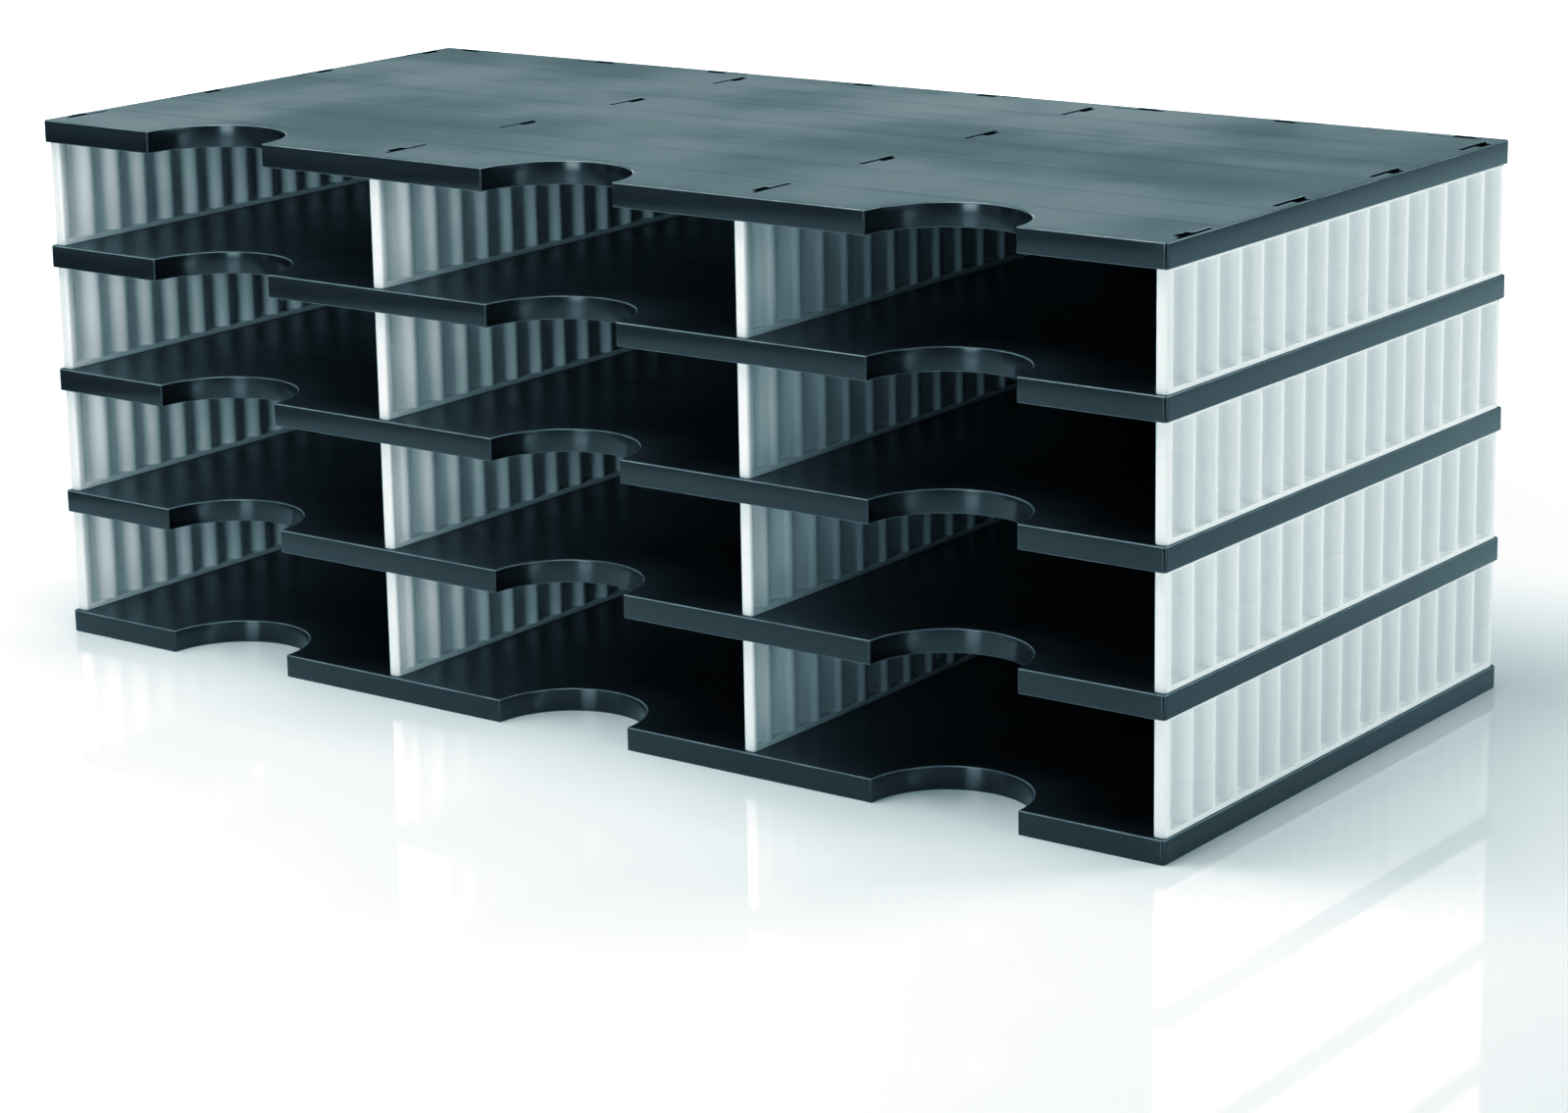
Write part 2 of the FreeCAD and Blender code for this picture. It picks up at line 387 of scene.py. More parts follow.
@dataclass
class Net:
    """A tree of shader nodes, with short ways to add to it."""

    tree: bpy.types.NodeTree

    def join(self, source: Value, target: Socket) -> None:
        """Joins an output to an input, or sets the input.

        Args:
            source: The output or the value.
            target: The input.
        """
        if isinstance(source, bpy.types.NodeSocket):
            self.tree.links.new(source, target)
        else:
            target.default_value = source

    def add(self, kind: str, *values: Value, **named: Value | str) -> bpy.types.NodeOutputs:
        """Adds a node.

        Args:
            kind: Its type, without the leading ShaderNode.
            values: Its first inputs, in their order.
            named: Its properties, and with a capital letter its other inputs.

        Returns:
            Its outputs.
        """
        node = self.tree.nodes.new("ShaderNode" + kind)
        for name, value in named.items():
            if name[0].isupper():
                self.join(value, node.inputs[name])
            else:
                setattr(node, name, value)
        for number, value in enumerate(values):
            self.join(value, node.inputs[number])
        return node.outputs

    def use(self, group: "Group", **values: Value) -> bpy.types.NodeOutputs:
        """Adds a shared group with its inputs, and gives its outputs."""
        return self.add("Group", node_tree=group.tree, **values)

    def calc(self, how: str, a: Value, b: Value = 0.0) -> Socket:
        """The result of a Math node's operation."""
        return self.add("Math", a, b, operation=how)["Value"]

    def plus(self, a: Value, b: Value) -> Socket:
        """The sum of two numbers."""
        return self.calc("ADD", a, b)

    def minus(self, a: Value, b: Value) -> Socket:
        """The first number less the second."""
        return self.calc("SUBTRACT", a, b)

    def times(self, a: Value, b: Value) -> Socket:
        """The product of two numbers."""
        return self.calc("MULTIPLY", a, b)

    def blend(self, share: Socket, one: Value, two: Value) -> Socket:
        """Mixes two numbers by a share: one + share * (two - one)."""
        return self.plus(one, self.times(self.minus(two, one), share))

    def mix(self, share: Socket, one: Value, two: Value) -> Socket:
        """Mixes two colours by a share."""
        return self.add("Mix", data_type="RGBA", Factor=share, A=one, B=two)["Result"]

    def span(self, value: Socket, low: float, high: float,
             to_low: float = 0.0, to_high: float = 1.0) -> Socket:
        """A smooth step, from to_low where the value is low to to_high where it is high."""
        ends = (low, high, to_low, to_high)
        return self.add("MapRange", value, *ends, interpolation_type="SMOOTHSTEP")["Result"]

    def noise(self, place: Socket, scale: Value, detail: float) -> Socket:
        """The value of a Noise Texture at a place."""
        return self.add("TexNoise", Vector=place, Scale=scale, Detail=detail)["Fac"]


class Group(Net):
    """A group of nodes that several finishes share. Its first input is a place."""

    def __init__(self, name: str, inputs: dict[str, float], outputs: list[str]) -> None:
        """Starts the group.

        Args:
            name: Its name.
            inputs: Names and values of its number inputs.
            outputs: Names of its number outputs.
        """
        super().__init__(bpy.data.node_groups.new(name, "ShaderNodeTree"))
        face = self.tree.interface
        face.new_socket("Place", in_out="INPUT", socket_type="NodeSocketVector")
        for label, value in inputs.items():
            face.new_socket(label, in_out="INPUT", socket_type="NodeSocketFloat").default_value = value
        for label in outputs:
            face.new_socket(label, in_out="OUTPUT", socket_type="NodeSocketFloat")
        self.given = self.tree.nodes.new("NodeGroupInput").outputs
        self.result = self.tree.nodes.new("NodeGroupOutput").inputs


def moulded_grain() -> Group:
    """The skin of moulded plastic: a fine even grain over broad soft waves in the gloss.

    Returns:
        The group. Height is the grain plus 0.6 of the waves.
    """
    net = Group("moulded_grain", {"Grain": 2600.0, "Blotch": 9.0}, ["Height", "Gloss"])
    fine = net.noise(net.given["Place"], net.given["Grain"], detail=2.0)
    broad = net.noise(net.given["Place"], net.given["Blotch"], detail=3.0)
    net.join(net.plus(fine, net.times(broad, 0.6)), net.result["Height"])
    net.join(net.span(broad, *NOISE_RANGE), net.result["Gloss"])
    return net


def flow_streaks() -> Group:
    """Faint streaks along X, where the melt ran along the mould.

    Returns:
        The group. Streak is 0.6 of fine streaks plus 0.4 of streaks 8 times as wide.
    """
    net = Group("flow_streaks", {"Fineness": 420.0}, ["Streak"])
    place = net.add("Mapping", Vector=net.given["Place"], Scale=(0.02, 1.0, 0.35))["Vector"]
    hair = net.noise(place, net.given["Fineness"], detail=4.0)
    wide = net.noise(place, net.times(net.given["Fineness"], 0.12), detail=2.0)
    both = net.plus(net.times(hair, 0.6), net.times(wide, 0.4))
    net.join(net.span(both, low=0.34, high=0.66), net.result["Streak"])
    return net


def sink_marks() -> Group:
    """Shallow lines in a skin, where ribs stand behind it a step apart, half a step from Y = 0.

    Returns:
        The group. Mark falls from 1 over a rib's middle to 0 at Width from it.
    """
    net = Group("sink_marks", {"Step": 0.0486, "Width": 0.0020}, ["Mark"])
    half = net.times(net.given["Step"], 0.5)
    along = net.add("SeparateXYZ", net.given["Place"])["Y"]
    apart = net.minus(half, net.calc("PINGPONG", along, half))
    share = net.calc("DIVIDE", apart, net.given["Width"])
    net.join(net.span(share, low=0.0, high=1.0, to_low=1.0, to_high=0.0), net.result["Mark"])
    return net


def painted_valley_shade() -> Group:
    """Painted shade in the valleys of the outer flutes, below the plane of their crests at X = Plane on
    both sides.

    Returns:
        The group. Thin grows to 1 at Depth below that plane, on faces that look away from X = 0.
    """
    net = Group("painted_valley_shade", {"Outwards": 0.0, "Plane": 0.3605, "Depth": 0.0052}, ["Thin"])
    across = net.add("SeparateXYZ", net.given["Place"])["X"]
    below = net.minus(net.given["Plane"], net.calc("ABSOLUTE", across))
    share = net.calc("DIVIDE", below, net.given["Depth"])
    facing = net.times(net.given["Outwards"], net.calc("SIGN", across))
    valley = net.times(net.span(share, low=0.2, high=1.0), net.span(facing, low=0.3, high=0.6))
    net.join(valley, net.result["Thin"])
    return net


def painted_edge_highlight() -> Group:
    """Painted highlight on rounded edges, where a surface is between upright and flat.

    Returns:
        The group. Highlight is full halfway between both, and uneven along an edge.
    """
    net = Group("painted_edge_highlight", {"Level": 0.0, "Patch": 60.0}, ["Wear"])
    rising = net.span(net.given["Level"], low=0.15, high=0.45)
    falling = net.span(net.given["Level"], low=0.85, high=0.98, to_low=1.0, to_high=0.0)
    patches = net.noise(net.given["Place"], net.given["Patch"], detail=3.0)
    patchy = net.span(patches, *NOISE_RANGE, to_low=0.55)
    net.join(net.times(net.times(rising, falling), patchy), net.result["Wear"])
    return net


# The fourth group paints shade into the outer flutes' valleys, and the fifth paints highlights onto rounded
# edges.
GRAIN, STREAKS, MARKS, VALLEY_SHADE, EDGE_HIGHLIGHT = moulded_grain(), flow_streaks(), sink_marks(), painted_valley_shade(), painted_edge_highlight()


@dataclass(frozen=True)
class Plastic:
    """A moulded plastic.

    Attributes:
        name: The material's name.
        colour: Base colour.
        shade: Base colour in the duller places.
        painted_highlight: Base colour of the rounded edges, a painted highlight.
        thin: Base colour in the valleys of the outer flutes, a painted shade that darkens them.
        rough: Roughness of upright faces, low and high.
        flat_rough: Roughness of faces that lie flat, low and high.
        grain: Bump strength of the grain.
        streaks: How much the flow streaks change the gloss and height of flat faces.
        marks: How much the sink marks change the gloss and height of flat faces.
        ior: Index of refraction of the surface.
        relief: Height of the bumps, in metres.
    """

    name: str
    colour: Triple
    shade: Triple
    painted_highlight: Triple
    thin: Triple
    rough: Pair
    flat_rough: Pair
    grain: float
    streaks: float = 0.0
    marks: float = 0.0
    ior: float = 1.46
    relief: float = 0.00002

    def material(self) -> bpy.types.Material:
        """Builds the material.

        Roughness and height come from the grain, the streaks and the marks added up. Streaks
        and marks are on flat faces only.

        Returns:
            The material.
        """
        made = bpy.data.materials.new(self.name)
        made.use_nodes = True
        net = Net(made.node_tree)
        shader = net.tree.nodes["Principled BSDF"]
        shader.inputs["IOR"].default_value = self.ior
        place, normal = net.add("TexCoord")["Object"], net.add("TexCoord")["Normal"]
        way = net.add("SeparateXYZ", normal)
        level = net.calc("ABSOLUTE", way["Z"])
        flat = net.span(level, low=0.75, high=0.98)
        skin = net.use(GRAIN, Place=place)
        streak = net.times(net.use(STREAKS, Place=place)["Streak"], flat)
        mark = net.times(net.use(MARKS, Place=place)["Mark"], flat)
        paint = net.mix(skin["Gloss"], (*self.colour, 1), (*self.shade, 1))
        # Painted shade: the valleys of the outer flutes get a darker base colour.
        paint = net.mix(net.use(VALLEY_SHADE, Place=place, Outwards=way["X"])["Thin"], paint, (*self.thin, 1))
        # Painted highlight: rounded edges get a lighter base colour.
        paint = net.mix(net.use(EDGE_HIGHLIGHT, Place=place, Level=level)["Wear"], paint, (*self.painted_highlight, 1))
        net.join(paint, shader.inputs["Base Color"])
        dull = net.plus(skin["Gloss"], net.times(streak, self.streaks))
        dull = net.plus(dull, net.times(mark, self.marks))
        most = 1.0 + self.streaks + self.marks
        upright = net.span(dull, 0.0, most, *self.rough)
        lying = net.span(dull, 0.0, most, *self.flat_rough)
        net.join(net.blend(flat, upright, lying), shader.inputs["Roughness"])
        rise, sink = 0.6, 2.0
        height = net.times(skin["Height"], self.grain)
        height = net.plus(height, net.times(streak, self.streaks * rise))
        height = net.minus(height, net.times(mark, self.marks * sink))
        bump = net.add("Bump", Distance=self.relief, Height=height)
        net.join(bump["Normal"], shader.inputs["Normal"])
        return made


INK, SOFT_INK = (0.0030, 0.0030, 0.0032), (0.0042, 0.0042, 0.0044)
# The black plates' rounded edges are lightened as a painted highlight.
BLACK = Plastic(
    "black_plate_plastic", INK, SOFT_INK, painted_highlight=(0.17, 0.17, 0.175), thin=INK,
    rough=(0.18, 0.25), flat_rough=(0.35, 0.49), grain=0.35, streaks=0.3, marks=0.6)
WALL_BLACK = Plastic(
    "black_wall_plastic", INK, SOFT_INK, painted_highlight=(0.010, 0.010, 0.011), thin=INK,
    rough=(0.26, 0.34), flat_rough=(0.26, 0.34), grain=0.5)
# The white panels' darker valley colour is painted shade for their outer flutes.
WHITE = Plastic(
    "white_panel_plastic", (0.86, 0.86, 0.855), (0.84, 0.84, 0.835), painted_highlight=(0.87, 0.87, 0.865),
    thin=(0.66, 0.67, 0.67), rough=(0.24, 0.32), flat_rough=(0.24, 0.32), grain=0.25)


# The sorter

@dataclass
class Sizes:
    """Overall sizes of the sorter, in millimetres."""

    width: float = 723.0
    depth: float = 340.0
    plate: float = 12.4
    pocket: float = 58.0
    panel: float = 7.0
    side_line: float = 4.5
    bays: int = 3
    rows: int = 4

    @property
    def bay(self) -> float:
        """Distance between two upright lines."""
        return (self.width - 2 * self.side_line) / self.bays

    @property
    def front(self) -> float:
        """Y of the plates' front edge."""
        return -self.depth / 2

    @property
    def back_line(self) -> float:
        """Y of the middle of the back walls."""
        return self.depth / 2 - self.side_line

    def line(self, index: int) -> float:
        """X of upright line number index, from the left."""
        return -self.width / 2 + self.side_line + index * self.bay

    def centre(self, index: int) -> float:
        """X of the centre of pocket column number index."""
        return self.line(index) + self.bay / 2

    def level(self, index: int) -> float:
        """Z of the underside of plate number index, from the bottom."""
        return index * (self.plate + self.pocket)


SIZES = Sizes()


@dataclass
class Slots:
    """The tab slots: a long bar with a short block beside it, along a line.

    Attributes:
        length: Length of the bar.
        half: Half of the width over bar and block.
        bar: Width of the bar.
        block: Length of the block.
        offset: How far the block's middle lies from the bar's.
        end: Distance from a plate's edge to the nearest slot's middle.
        per_panel: Number of slots along a panel.
        per_back: Number of slots along the back edge.
        back_first: Distance from the left line to the first of them, in bays.
        back_step: Distance between two of them, in bays.
        soft: Radius of a slot's corners.
    """

    length: float = 31.3
    half: float = 3.3
    bar: float = 2.8
    block: float = 12.5
    offset: float = 4.7
    end: float = 27.875
    per_panel: int = 4
    per_back: int = 8
    back_first: float = 0.1
    back_step: float = 0.4
    soft: float = 0.35

    def shape(self, turn: Turn) -> np.ndarray:
        """The corners of a slot about its centre.

        Args:
            turn: Which way it lies.

        Returns:
            Points (across, along), anticlockwise.
        """
        step = self.bar - self.half
        low, high = self.offset - self.block / 2, self.offset + self.block / 2
        ends = self.length / 2
        corners = np.array([
            (-self.half, -ends), (step, -ends), (step, low), (self.half, low),
            (self.half, high), (step, high), (step, ends), (-self.half, ends)])
        return corners * turn.value

    def along_panels(self) -> list[tuple[float, Turn]]:
        """Y and turn of each slot along an upright line. The front one is turned round."""
        places = np.linspace(SIZES.front + self.end, -SIZES.front - self.end, self.per_panel)
        return [(y, Turn.BAR_HIGH if k == 0 else Turn.BAR_LOW) for k, y in enumerate(places)]

    def along_back(self) -> list[tuple[float, Turn]]:
        """X and turn of each slot along the back edge. Every second one is turned round."""
        places = SIZES.line(0) + SIZES.bay * (self.back_first + np.arange(self.per_back) * self.back_step)
        return [(x, Turn.BAR_LOW if k % 2 else Turn.BAR_HIGH) for k, x in enumerate(places)]

    def outlines(self) -> list[Outline]:
        """Finds every slot of one plate.

        Returns:
            The slots' outlines, seen from above.
        """
        made = []
        for index in range(SIZES.bays + 1):
            for y, turn in self.along_panels():
                made.append(self.shape(turn) + (SIZES.line(index), y))
        for x, turn in self.along_back():
            made.append(self.shape(turn)[::-1, ::-1] + (x, SIZES.back_line))
        return [Outline.rounded(corners, self.soft, steps=2) for corners in made]


@dataclass
class Plate:
    """One moulded plate: skin, skirt, cross ribs, finger notches and tab slots.

    Attributes:
        skin: Thickness of the flat top.
        skirt: Thickness of the wall that hangs round the edge and round the notches.
        corner: Radius of the four upright corners.
        mouth: Radius of the corners where a notch opens.
        notch: Radius of a notch's round end.
        straight: Depth of a notch's straight sides.
        edge: Rounding of the top edge.
        foot: Rounding of the bottom edge.
        rib: Thickness of a cross rib.
        ribs: Number of cross ribs.
        inner_corner: Radius of the hollows' corners below.
        inner_mouth: Radius of the hollows' corners beside the notches.
        lip: Bevel round the top of a slot.
        slots: The tab slots.
    """

    skin: float = 2.2
    skirt: float = 1.0
    corner: float = 2.0
    mouth: float = 1.0
    notch: float = 42.5
    straight: float = 2.0
    edge: float = 0.9
    foot: float = 0.5
    rib: float = 1.5
    ribs: int = 6
    inner_corner: float = 0.8
    inner_mouth: float = 0.5
    lip: float = 0.15
    slots: Slots = field(default_factory=Slots)

    def _notched(self, low: Pair, high: Pair, grow: float,
                 corner: float, mouth: float) -> Outline:
        """A rectangle with the notches cut into its front side.

        Args:
            low: Front left corner.
            high: Back right corner.
            grow: How much larger the notches are made.
            corner: Radius of the rectangle's corners.
            mouth: Radius of the notches' mouths.

        Returns:
            The outline.
        """
        reach = self.notch + grow
        deep = SIZES.front + self.straight + reach
        fine, coarse, round_end = 6, 5, 40
        corners, radii, steps = [low], [corner], [fine]
        for bay in range(SIZES.bays):
            x = SIZES.centre(bay)
            corners += [(x - reach, low[1]), (x - reach, deep), (x + reach, deep), (x + reach, low[1])]
            radii += [mouth, reach, reach, mouth]
            steps += [coarse, round_end, round_end, coarse]
        corners += [(high[0], low[1]), high, (low[0], high[1])]
        radii += [corner] * 3
        steps += [fine] * 3
        return Outline.rounded(np.array(corners), np.array(radii), np.array(steps))

    def _hollows(self) -> list[Outline]:
        """Finds the hollows between skirt and ribs.

        Returns:
            The hollows' outlines, from the front.
        """
        side, corner = SIZES.width / 2 - self.skirt, self.inner_corner
        ribs = np.arange(1, self.ribs + 1) * (SIZES.depth / (self.ribs + 1))
        lows = SIZES.front + np.append(self.skirt, ribs + self.rib / 2)
        highs = SIZES.front + np.append(ribs - self.rib / 2, SIZES.depth - self.skirt)
        made = [self._notched((-side, lows[0]), (side, highs[0]), self.skirt, corner, self.inner_mouth)]
        for low, high in zip(lows[1:], highs[1:]):
            made.append(Outline.rounded(rectangle((-side, low), (side, high)), corner, steps=3))
        return made

    def surface(self) -> Surface:
        """Makes the plate with its underside at Z = 0.

        The outer wall and the walls of slots and hollows are profiles carried along outlines.

        Returns:
            The plate's surface.
        """
        height, ceiling = SIZES.plate, SIZES.plate - self.skin
        half = SIZES.width / 2
        made = Surface()
        outer = self._notched((-half, SIZES.front), (half, -SIZES.front), 0.0, self.corner, self.mouth)
        top = quarter(self.edge, height - self.edge, self.edge, first=90, steps=5)
        bottom = quarter(self.foot, self.foot, self.foot, first=0)
        made.wall(outer, top + bottom)
        slots, lip = self.slots.outlines(), self.lip
        made.cap(outer.inset(self.edge), [s.inset(-lip) for s in slots], height, True)
        for slot in slots:
            made.wall(slot, [(-lip, height), (0, height - lip), (0, ceiling)], Facing.IN)
        hollows = self._hollows()
        made.cap(outer.inset(self.foot), [h.points for h in hollows], 0.0, False)
        for hollow in hollows:
            made.wall(hollow, [(0, ceiling), (0, 0)], Facing.IN)
            low, high = hollow.points[:, 1].min(), hollow.points[:, 1].max()
            inside = [s.points for s in slots if low < s.points[:, 1].mean() < high]
            made.cap(hollow.points, inside, ceiling, False)
        return made


@dataclass
class FlutedPanel:
    """One white panel: a waved web between flat flanges, with a rounded post at each end.

    Attributes:
        inset: How far the panel stays back from the plates' front and back edges.
        flange_low: Height of the flat strip along its bottom.
        flange_high: Height of the flat strip along its top.
        post: Depth of the plain strip at each end.
        first: Distance from the panel's end to the first crest's middle.
        step: Distance between two crests.
        deep: Depth of a flute.
        tight: How tightly crests and valleys turn, from 0 for a sine to 1 for a zigzag.
        root: Rounding where the web meets a flange.
        nose: Rounding of the upright edges at the ends.
        brim: Rounding of the flanges' inner edges.
        bevel: Bevel of the flanges' outer edges.
        recess: How far a tab ends below the top of its plate.
        play: Clearance of a tab in its slot.
        overlap: How far a tab reaches down into the flange.
        tab_edge: Bevel of a tab's edges.
        samples: Points along one flute.
        arc: Points along a rounding.
        slots: The slots that its tabs fit.
    """

    inset: float = 3.0
    flange_low: float = 2.7
    flange_high: float = 1.5
    post: float = 4.0
    first: float = 3.0
    step: float = 20.5
    deep: float = 5.5
    tight: float = 0.2
    root: float = 1.1
    nose: float = 1.6
    brim: float = 0.4
    bevel: float = 0.2
    recess: float = 7.0
    play: float = 0.25
    overlap: float = 1.0
    tab_edge: float = 0.2
    samples: int = 30
    arc: int = 6
    slots: Slots = field(default_factory=Slots)

    def wave(self, along: np.ndarray, shift: float) -> np.ndarray:
        """Depth of the flutes along the panel.

        The depth swings between 0 on a crest and deep in a valley as a rounded zigzag,
        deep * (1 - asin(tight * cos(turn)) / asin(tight)) / 2, with one full turn per step.

        Args:
            along: Distances from the panel's end.
            shift: Shift of the flutes, as a share of their step.

        Returns:
            The depth at each distance.
        """
        turn = ((along - self.first) / self.step - shift) * math.tau
        swing = np.arcsin(self.tight * np.cos(turn)) / math.asin(self.tight)
        return self.deep * (1 - swing) / 2

    def surface(self, shift: float = 0.0) -> Surface:
        """Makes the panel with its middle at X = 0 and its underside at Z = 0.

        Its section goes once round at each of many stations along Y. The flutes of the inner
        face lie half a step from those of the outer face.

        Args:
            shift: Shift of the flutes, as a share of their step.

        Returns:
            The panel's surface.
        """
        length = SIZES.depth - 2 * self.inset
        count = round((length - 2 * self.first) / self.step)
        web = np.linspace(self.post, length - self.post, count * self.samples + 1)
        turn = np.radians(np.linspace(0, 90, self.arc))
        into, round_off = self.nose * (1 - np.cos(turn)), self.nose * (1 - np.sin(turn))
        along = np.concatenate([into, web, length - into[::-1]])
        pull = np.concatenate([round_off, np.zeros(len(web)), round_off[::-1]])
        on_web = (along >= self.post) & (along <= length - self.post)
        outer = np.where(on_web, self.wave(along, shift), 0.0)
        inner = np.where(on_web, self.wave(along, shift + 0.5), 0.0)
        made = Surface()
        loop = np.concatenate([self._side(outer, pull), self._side(inner, pull)[:, ::-1] * (-1, 1)], axis=1)
        loop = np.concatenate([loop, loop[:, :1]], axis=1)
        y = np.broadcast_to((along + SIZES.front + self.inset)[:, None, None], loop.shape[:2] + (1,))
        made.grid(np.concatenate([loop[:, :, :1], y, loop[:, :, 1:]], axis=2), False, True)
        self._end(made, loop[0], along[0])
        self._end(made, loop[-1][::-1], along[-1])
        self._tabs(made)
        return made

    def _side(self, depth: np.ndarray, pull: np.ndarray) -> np.ndarray:
        """Works out half of the panel's section at each station, from the underside to the top.

        A station of depth d has its web at x = half - d. The rounding where web and flange
        meet has radius min(root, d / 2), so that it dies out towards a crest.

        Args:
            depth: Depth of the flute at each station.
            pull: How far the upright end roundings pull each station in.

        Returns:
            Points (x, z), (stations, points, 2).
        """
        x = SIZES.panel / 2 - pull[:, None]
        deep = depth[:, None]
        soft = np.minimum(self.root, deep / 2)
        edge = np.minimum(self.brim, soft)
        turn = np.radians(np.linspace(0, 90, self.arc))[None, :]
        near, far = 1 - np.cos(turn), 1 - np.sin(turn)
        out = np.concatenate([x - self.bevel, x, x - edge * near, x - deep + soft * far], axis=1)
        up = np.concatenate([x * 0, x * 0 + self.bevel, -edge * far, soft * near], axis=1)
        flanged = np.array([0, 0] + [1] * (up.shape[1] - 2))
        low = up + self.flange_low * flanged
        high = SIZES.pocket - (up + self.flange_high * flanged)[:, ::-1]
        sides = np.concatenate([out, out[:, ::-1]], axis=1)
        return np.stack([sides, np.concatenate([low, high], axis=1)], axis=2)

    def _end(self, made: Surface, loop: np.ndarray, along: float) -> None:
        """Closes one end of the panel with strips across its section.

        Args:
            made: The panel's surface.
            loop: Points (x, z) of the section there.
            along: Distance from the panel's end.
        """
        count = (len(loop) - 1) // 2
        one, two = loop[:count], loop[count:2 * count][::-1]
        strip = np.stack([one, two], axis=1)
        y = np.full(strip.shape[:2] + (1,), along + SIZES.front + self.inset)
        made.grid(np.concatenate([strip[:, :, :1], y, strip[:, :, 1:]], axis=2), False, True)

    def _tabs(self, made: Surface) -> None:
        """Adds the tabs above, one for the bar of each slot.

        Args:
            made: The panel's surface.
        """
        wide, thin = self.slots.half - self.play, self.slots.half - self.slots.bar + self.play
        ends = self.slots.length / 2 - self.play
        low, high = SIZES.pocket - self.overlap, SIZES.pocket + SIZES.plate - self.recess
        for y, turn in self.slots.along_panels():
            left, right = sorted([-turn.value * wide, -turn.value * thin])
            made.block((left, y - ends, low), (right, y + ends, high), self.tab_edge)


@dataclass
class BackWall:
    """One black back wall: flat towards the pocket, with a border round a hollow behind.

    Attributes:
        web: Thickness of its middle.
        border: Width of its border.
        gap: Clearance between it and a panel.
        edge: Rounding of its edges.
    """

    web: float = 2.0
    border: float = 2.5
    gap: float = 0.3
    edge: float = 0.4

    def surface(self) -> Surface:
        """Makes the wall with its middle at X = 0 and its underside at Z = 0.

        Its edge is one profile from the front over the border into the hollow, carried round
        the wall.

        Returns:
            The wall's surface.
        """
        half = (SIZES.bay - SIZES.panel) / 2 - self.gap
        outline = Outline.mitred(rectangle((-half, 0), (half, SIZES.pocket)))
        front, back = -(SIZES.back_line - SIZES.panel / 2), -(SIZES.back_line + SIZES.panel / 2)
        edge, border, floor = self.edge, self.border, front - self.web
        profile = quarter(edge, front - edge, edge, first=90)
        profile += quarter(edge, back + edge, edge, first=0)
        profile += [(border - edge, back), (border, back + edge)]
        profile += [(border, floor - edge), (border + edge, floor)]
        made = Surface(axes=(0, 2, 1))
        made.wall(outline, profile)
        made.cap(outline.inset(edge), [], front, True)
        made.cap(outline.inset(border + edge), [], floor, False)
        made.points = [p * (1, -1, 1) for p in made.points]
        made.faces = [f[:, ::-1] for f in made.faces]
        return made


@dataclass
class Sorter:
    """The whole sorter, from its plates, panels and walls.

    Attributes:
        plate: A plate.
        panel: A panel.
        wall: A back wall.
        turned_rows: Rows, from 0 at the bottom, whose dividers stand turned round.
    """

    plate: Plate = field(default_factory=Plate)
    panel: FlutedPanel = field(default_factory=FlutedPanel)
    wall: BackWall = field(default_factory=BackWall)
    turned_rows: tuple[int, ...] = (0, 1)

    def build(self) -> None:
        """Makes every piece, in place of its plain solid."""
        black, wall_black, white = BLACK.material(), WALL_BLACK.material(), WHITE.material()
        plate = self.plate.surface()
        names = ["base_plate"] + ["shelf_%d" % k for k in range(1, SIZES.rows)] + ["top_plate"]
        for level, node in enumerate(names):
            self._add(plate, node, (0, 0, SIZES.level(level)), black, "plate_black")
        panels = {False: self.panel.surface(), True: self.panel.surface(shift=0.5)}
        wall = self.wall.surface()
        uprights = ["side_panel_left", "divider_left", "divider_right", "side_panel_right"]
        walls = ["back_wall_left", "back_wall_middle", "back_wall_right"]
        for row in range(SIZES.rows):
            floor = SIZES.level(row) + SIZES.plate
            for index, name in enumerate(uprights):
                panel = panels[row in self.turned_rows and name.startswith("divider")]
                node = "%s_%d" % (name, row + 1)
                self._add(panel, node, (SIZES.line(index), 0, floor), white, "panel_white")
            for bay, name in enumerate(walls):
                node = "%s_%d" % (name, row + 1)
                self._add(wall, node, (SIZES.centre(bay), 0, floor), wall_black, "wall_black")

    @staticmethod
    def _add(surface: Surface, node: str, shift: Triple,
             material: bpy.types.Material, slot: str) -> None:
        """Places one dressed piece for a node of the model.

        Args:
            surface: The piece's surface.
            node: The node's name.
            shift: Where the piece goes, in millimetres.
            material: Its material.
            slot: Name of its finish; not used.
        """
        made = surface.piece(node + "_skin", shift)
        made.data.materials.append(material)
        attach(made, "root")
        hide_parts(node)
        log.info("%s: %d faces", made.name, len(made.data.polygons))


# The studio

@dataclass(frozen=True)
class Softbox:
    """A rectangular light.

    Attributes:
        name: The light's name.
        place: Where its middle stands.
        aim: The point that it faces.
        size: Its width and height.
        power: Its power in watts.
    """

    name: str
    place: Triple
    aim: Triple
    size: Pair
    power: float

    def add(self) -> None:
        """Adds the light, unseen by the camera."""
        data = bpy.data.lights.new(self.name, "AREA")
        data.shape = "RECTANGLE"
        data.size, data.size_y = self.size
        data.energy = self.power
        made = placed(self.name, data)
        made.location = self.place
        made.rotation_euler = (Vector(self.aim) - Vector(self.place)).to_track_quat("-Z", "Y").to_euler()
        made.visible_camera = False


@dataclass(frozen=True)
class RoomPatch:
    """A soft bright patch of the room round the table.

    Attributes:
        way: Direction of its middle.
        inner: Angle from the middle within which it is full, in degrees.
        outer: Angle at which it has faded out.
        level: Its brightness.
    """

    way: Triple
    inner: float
    outer: float
    level: float

    def light(self, net: Net, seen: Socket) -> Socket:
        """Fades the patch by the cosine of the angle between a direction and its middle.

        Args:
            net: The room's nodes.
            seen: The direction.

        Returns:
            The patch's brightness there.
        """
        near, far = math.cos(math.radians(self.inner)), math.cos(math.radians(self.outer))
        dot = net.add("VectorMath", seen, Vector(self.way).normalized(), operation="DOT_PRODUCT")
        return net.span(dot["Value"], far, near, to_high=self.level)


